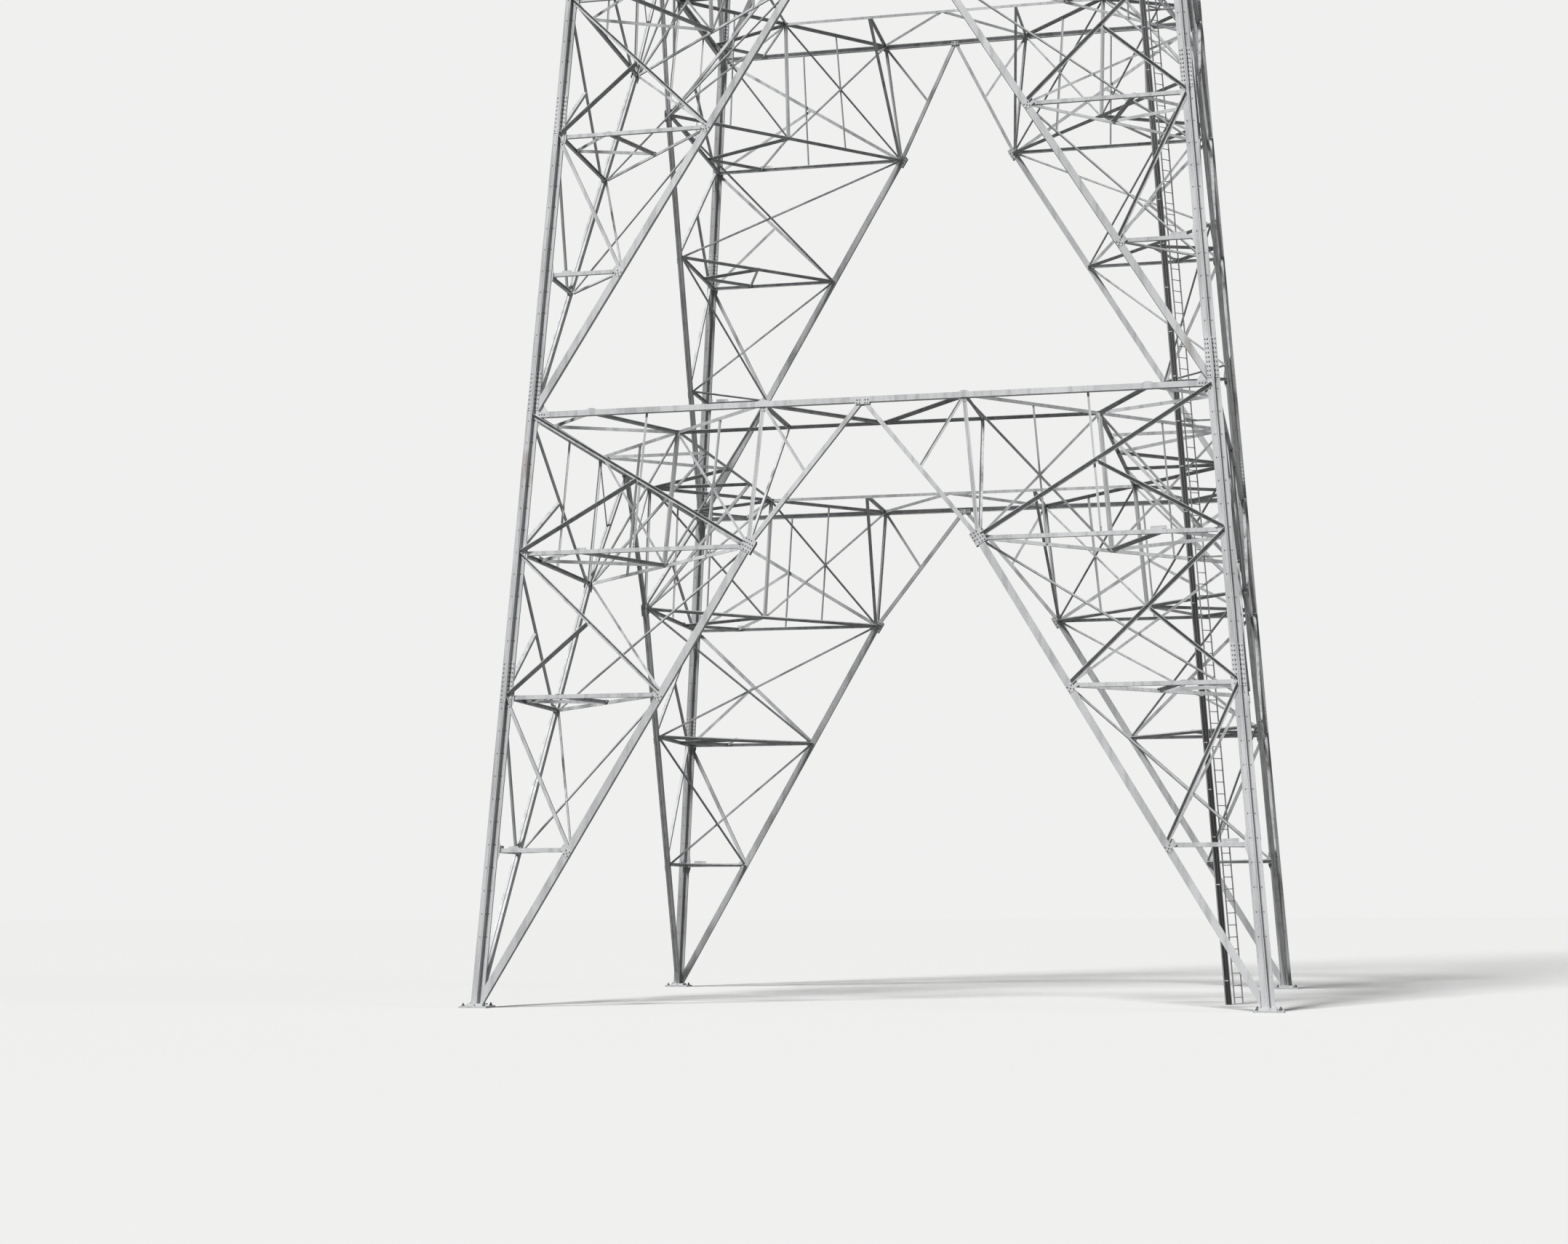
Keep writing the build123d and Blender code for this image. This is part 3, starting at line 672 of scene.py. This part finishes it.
def corner_groups():
    for p in KNEE_SHARE:
        hips, plans, b = Steel(), Steel(), Steel()
        for i in range(4):
            corner_steel(i, p, hips, plans, b)
        hips.build(f"hip_bars_{p}", steel,
                   [f"lower_hips_panel_{p}", f"upper_hips_panel_{p}", f"inner_braces_panel_{p}"])
        plans.build(f"plan_bars_{p}", steel,
                    [f"corner_plans_panel_{p}", f"girt_corners_panel_{p}", f"girt_inner_frame_{p}"])
        b.build(f"hip_bolts_{p}", bolt_steel)
    ties = Steel()
    for p in range(3, PANELS + 1):
        z, v, k = storeys(p), v_offsets(p), slim(p)
        hang, inn = PLAN_LIP * k, V_DEEP * k / 2 + INNER_GAP
        # from side to side across the corner: offset from the middle, height, width
        spans = [(v[s], z[s], TIE if s == 2 else HIP_BAR) for s in (1, 2, 3)]
        if p < PANELS:
            spans.append((HIGH_TIE_SHARE * half(z[4]), z[4], TIE))
        for i in range(4):
            turn = quarter_turn(i)
            for u, h, wide in spans:
                on_front = turn @ Vector((-u, inn - half(h), h))
                on_left = turn @ Vector((inn - half(h), -u, h))
                angle_bar(ties, on_front, on_left, DOWN, wide * k, hang, CORNER_THICK * k,
                          up=turn @ Vector((-1, -1, 0)), seat=-hang / 2)
    ties.build("upper_corner_ties", steel, ["corner_ties_upper"])


# Ladder, cable tray and what hangs on them
def run_point(inset, z, back=0.0):
    return Vector((half(z) - inset, back - RUN_SHARE * half(z), z))


def climb():
    g = Steel()
    start, end = run_point(LADDER_INSET, RAIL), run_point(LADDER_INSET, HEIGHT - RAIL)
    along = (end - start).normalized()
    out = Vector((1, 1, 0)).cross(along).normalized()
    across = along.cross(out)
    reach = (LADDER_WIDTH - RAIL) / 2
    rail = (-RAIL_WIDE / 2, RAIL_WIDE / 2, -RAIL_DEEP / 2, RAIL_DEEP / 2)
    for c in (across * -reach, across * reach):
        g.box_bar(start + c, end + c, across, out, rail)
    for i in range(int((end - start).length // RUNG_PITCH)):
        c = start + along * (RUNG_PITCH * (i + 0.5))
        g.rod(c - across * (reach + RAIL / 2), c + across * (reach + RAIL / 2), RUNG, 6)
    g.build("ladder", run_steel, ["access_ladder"], slot="fittings_steel")


def tray():
    g, cables, clamps = Steel(), Steel(), Steel()
    w, deep, sheet = TRAY_HALF, TRAY_DEEP, TRAY_SHEET
    back = TRAY_BACK - deep
    section = [(w, deep), (-w, deep), (-w, 0), (TRAY_LIP - w, 0), (TRAY_LIP - w, sheet),
               (sheet - w, sheet), (sheet - w, deep - sheet), (w - sheet, deep - sheet),
               (w - sheet, 0), (w, 0)]

    def in_tray(x, y, z):
        return run_point(CABLE_INSET, z, back) + Vector((x, y, 0))

    g.loft(*([in_tray(x, y, z) for x, y in section] for z in (0, HEIGHT)))
    for x, r in FEEDERS:
        ends = [in_tray(x * MM, deep - sheet - r * MM, z) for z in (2 * MM, HEIGHT - 2 * MM)]
        cables.rod(*ends, r * MM, 12)
    z = CLAMP_FIRST
    while z < HEIGHT - CLAMP_LAST:
        for x, r in FEEDERS[:CLAMPED]:
            ring = in_tray(x * MM, deep - sheet - r * MM, z)
            clamps.rod(ring - UP * CLAMP_HALF, ring + UP * CLAMP_HALF, (r + CLAMP_WALL) * MM, 12)
        z += CLAMP_PITCH
    g.build("cable_tray_channel", run_steel, ["cable_tray"], slot="fittings_steel")
    cables.build("feeder_lines", jacket, slot="fittings_steel")
    clamps.build("feeder_clamps", plate_steel, slot="fittings_steel")


# Feet: stiffeners, and anchor studs with washers and nuts, round each leg
def feet():
    g, b = Steel(), Steel()
    for i in range(4):
        c = quarter_turn(i) @ Vector((-half(0), -half(0), 0))
        for a in range(4):
            d = quarter_turn(a + 0.5) @ Vector((1, 0, 0))
            stud = c + d * (ANCHOR_OUT * math.sqrt(2)) + UP * BASE_TOP
            b.head(stud, UP, WASHER, WASHER_THICK, sides=16)
            b.head(stud + UP * WASHER_THICK, UP, NUT, NUT_TALL, turn=a)
            b.rod(stud, stud + UP * (STUD_TOP - BASE_TOP), STUD, 12)
        for a in range(4):
            d = quarter_turn(a) @ Vector((1, 0, 0))
            g.plate([c + d * STIFFENER_IN + UP * BASE_TOP, c + d * STIFFENER_OUT + UP * BASE_TOP,
                     c + d * STIFFENER_IN + UP * STIFFENER_TOP], UP.cross(d), -THIN_PLATE, THIN_PLATE)
    g.build("foot_stiffeners", plate_steel, slot="fittings_steel")
    b.build("foot_anchors", bolt_steel, slot="fittings_steel")


for i, name in enumerate(CORNERS):
    leg_pieces(i, name)
girder_groups()
corner_groups()
climb()
tray()
feet()
# the girts are drawn with the sides, so these pieces stand for their nodes too
for p in (1, 2, 3):
    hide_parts(f"girts_panel_{p}")
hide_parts("girts_upper")
plain = {"base_plates": plate_steel, "run_brackets": run_steel, "aerial_seat": plate_steel}
for name, material in plain.items():
    obj = frame["nodes"][name]
    if not obj.material_slots:
        obj.data.materials.append(material)
    for material_slot in obj.material_slots:
        material_slot.material = material

# Floor: its shade as the camera sees it, and a darker one for the light that it throws back
FLOOR_REACH = 400
FLOOR_SEEN, FLOOR_BOUNCE = (0.709, 0.709, 0.703), (0.09, 0.09, 0.09)
floor_mesh = bpy.data.meshes.new("floor")
corners = [(x * FLOOR_REACH, y * FLOOR_REACH, 0) for x, y in ((-1, -1), (1, -1), (1, 1), (-1, 1))]
floor_mesh.from_pydata(corners, [], [(0, 1, 2, 3)])
floor = bpy.data.objects.new("floor", floor_mesh)
bpy.context.scene.collection.objects.link(floor)
floor_mat = bpy.data.materials.new("pale_floor")
floor_mat.use_nodes = True
fn = floor_mat.node_tree
floor_bsdf = fn.nodes["Principled BSDF"]
floor_bsdf.inputs["Roughness"].default_value = 0.95
floor_bsdf.inputs["Specular IOR Level"].default_value = 0.1
path = fn.nodes.new("ShaderNodeLightPath")
camera_or_glossy, seen_ray = fn.nodes.new("ShaderNodeMath"), fn.nodes.new("ShaderNodeMath")
for node in (camera_or_glossy, seen_ray):
    node.operation = "MAXIMUM"
fn.links.new(path.outputs["Is Camera Ray"], camera_or_glossy.inputs[0])
fn.links.new(path.outputs["Is Glossy Ray"], camera_or_glossy.inputs[1])
fn.links.new(camera_or_glossy.outputs["Value"], seen_ray.inputs[0])
fn.links.new(path.outputs["Is Transmission Ray"], seen_ray.inputs[1])
floor_shade = mix(fn, "MIX", seen_ray.outputs["Value"], FLOOR_BOUNCE, FLOOR_SEEN)
fn.links.new(floor_shade, floor_bsdf.inputs["Base Color"])
floor_mesh.materials.append(floor_mat)

# Light: a pale background for the camera, soft light from all round, and two suns
world = bpy.data.worlds.new("studio")
bpy.context.scene.world = world
world.use_nodes = True
wn = world.node_tree
for node in list(wn.nodes):
    wn.nodes.remove(node)
out = wn.nodes.new("ShaderNodeOutputWorld")
light_path = wn.nodes.new("ShaderNodeLightPath")
seen, lit = wn.nodes.new("ShaderNodeBackground"), wn.nodes.new("ShaderNodeBackground")
seen.inputs["Color"].default_value = (0.87, 0.87, 0.865, 1)
lit.inputs["Color"].default_value = (1, 1, 1, 1)
lit.inputs["Strength"].default_value = 0.14
blend = wn.nodes.new("ShaderNodeMixShader")
wn.links.new(light_path.outputs["Is Camera Ray"], blend.inputs["Fac"])
wn.links.new(lit.outputs["Background"], blend.inputs[1])
wn.links.new(seen.outputs["Background"], blend.inputs[2])
wn.links.new(blend.outputs["Shader"], out.inputs["Surface"])


def sun(name, azimuth, elevation, strength, soft):
    """A sun, with all three angles in degrees and its azimuth counted from the front."""
    lamp = bpy.data.lights.new(name, "SUN")
    lamp.energy = strength
    lamp.angle = math.radians(soft)
    obj = bpy.data.objects.new(name, lamp)
    bpy.context.scene.collection.objects.link(obj)
    a, e = math.radians(azimuth), math.radians(elevation)
    back = Vector((math.sin(a) * math.cos(e), -math.cos(a) * math.cos(e), math.sin(e)))
    obj.rotation_mode = "QUATERNION"
    obj.rotation_quaternion = (-back).to_track_quat("-Z", "Y")


sun("key", -20, 50, 4.3, 10)
sun("fill", 75, 25, 0.45, 30)

# Camera: fitted to the nodes of the tower in the photograph, its place in storeys from the centre line
FOCAL, PHOTO_WIDTH, SENSOR = 3413.019, 2156, 36
CAMERA_RIGHT, CAMERA_FRONT, CAMERA_UP = 3.0135 * SUB_BAY, 18.2412 * SUB_BAY, 0.5809 * SUB_BAY
YAW, PITCH, ROLL = -0.2194, 0.1187, -0.0022
camera = bpy.data.cameras.new("camera")
camera.sensor_width = SENSOR
camera.lens = FOCAL / PHOTO_WIDTH * SENSOR
camera.clip_end = 1000
cam = bpy.data.objects.new("camera", camera)
bpy.context.scene.collection.objects.link(cam)
bpy.context.scene.camera = cam
right = Vector((math.cos(YAW), -math.sin(YAW), 0))
ahead = Vector((math.sin(YAW), math.cos(YAW), 0))
up = UP * math.cos(PITCH) - ahead * math.sin(PITCH)
forward = ahead * math.cos(PITCH) + UP * math.sin(PITCH)
x_axis = right * math.cos(ROLL) + up * math.sin(ROLL)
y_axis = up * math.cos(ROLL) - right * math.sin(ROLL)
cam.matrix_world = Matrix((
    (x_axis.x, y_axis.x, -forward.x, HALF_BASE + CAMERA_RIGHT),
    (x_axis.y, y_axis.y, -forward.y, HALF_BASE - CAMERA_FRONT),
    (x_axis.z, y_axis.z, -forward.z, CAMERA_UP),
    (0, 0, 0, 1)))

bpy.context.scene.view_settings.view_transform = "Standard"
